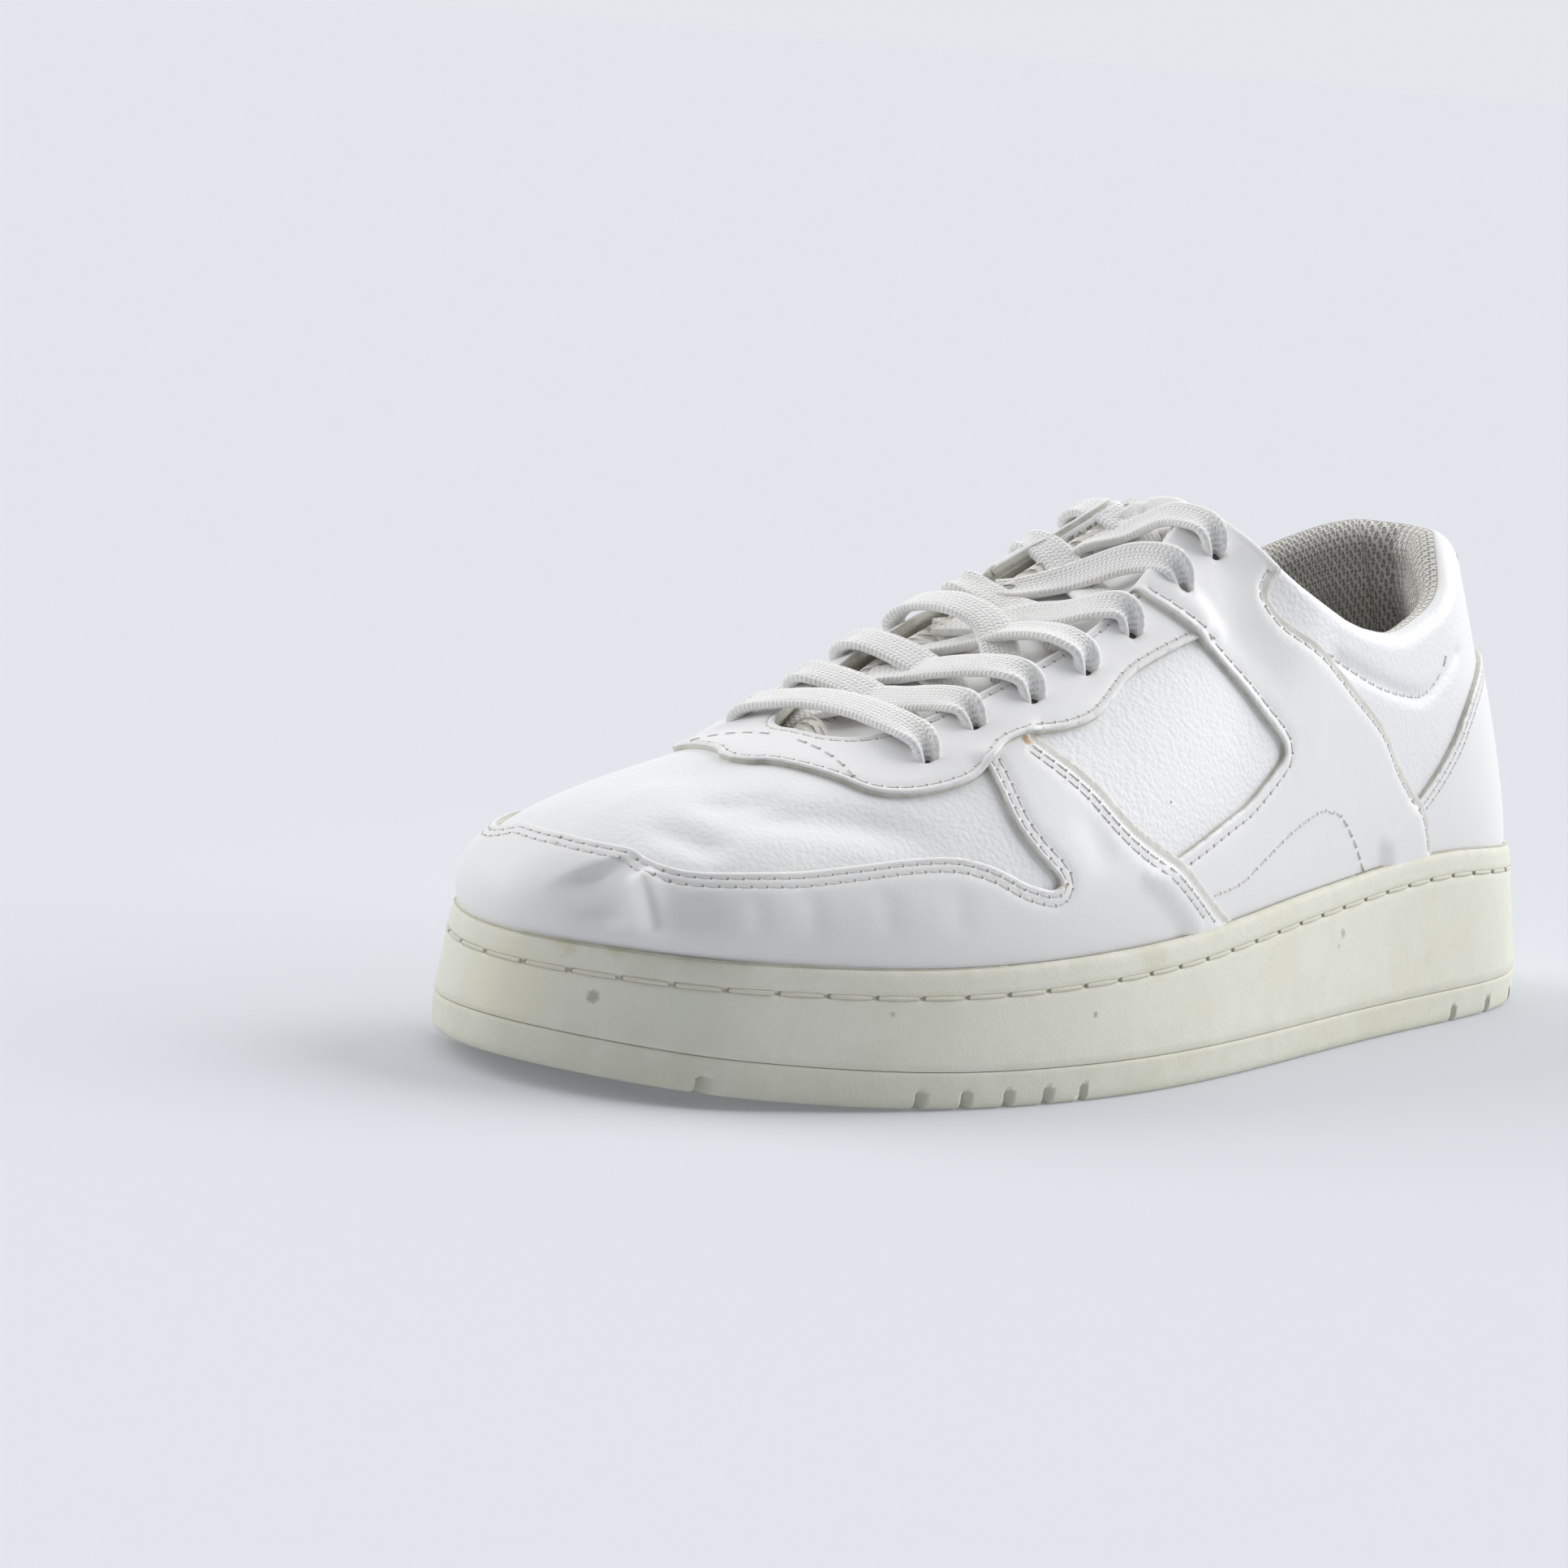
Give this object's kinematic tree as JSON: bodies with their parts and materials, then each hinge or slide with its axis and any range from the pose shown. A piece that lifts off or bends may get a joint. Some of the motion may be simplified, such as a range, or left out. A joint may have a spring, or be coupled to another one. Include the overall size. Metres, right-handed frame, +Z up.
{
  "type": "sneaker",
  "caption": "Worn low leather sneaker with a cup sole, layered overlays and criss-cross flat laces, left shoe, standing empty.",
  "frame": {"origin": "on the floor, at the middle of the shoe's length and width", "axes": "+X from heel to toe, +Y to the outer (lateral) side, +Z up"},
  "size_m": [0.3, 0.1136, 0.1125],
  "materials": {
    "tread_rubber": "matt, off-white, ribbed edge",
    "cup_rubber": "matt, off-white, slightly yellowed",
    "footbed": "grey textile",
    "upper_leather": "white, fine pebble grain, creased",
    "overlay_leather": "white, smooth, creased, cut edges",
    "lining_knit": "grey-beige knit mesh",
    "tongue_leather": "white, padded",
    "label_woven": "cream, woven, bare",
    "lace_cotton": "cream-white flat braid"
  },
  "bodies": {
    "root": {"outsole": "tread_rubber", "cup_sole": "cup_rubber", "insole": "footbed", "upper": "upper_leather", "collar_lining": "lining_knit", "tongue": "tongue_leather", "tongue_label": "label_woven", "toe_guard": "overlay_leather", "eyestay": "overlay_leather", "quarter_overlay_lateral": "overlay_leather", "quarter_overlay_medial": "overlay_leather", "heel_counter": "overlay_leather", "heel_tab": "overlay_leather", "lace_bar": "lace_cotton", "lace_crossing_1": "lace_cotton", "lace_crossing_2": "lace_cotton", "lace_crossing_3": "lace_cotton", "lace_crossing_4": "lace_cotton", "lace_crossing_5": "lace_cotton", "lace_crossing_6": "lace_cotton"}
  },
  "joints": []
}
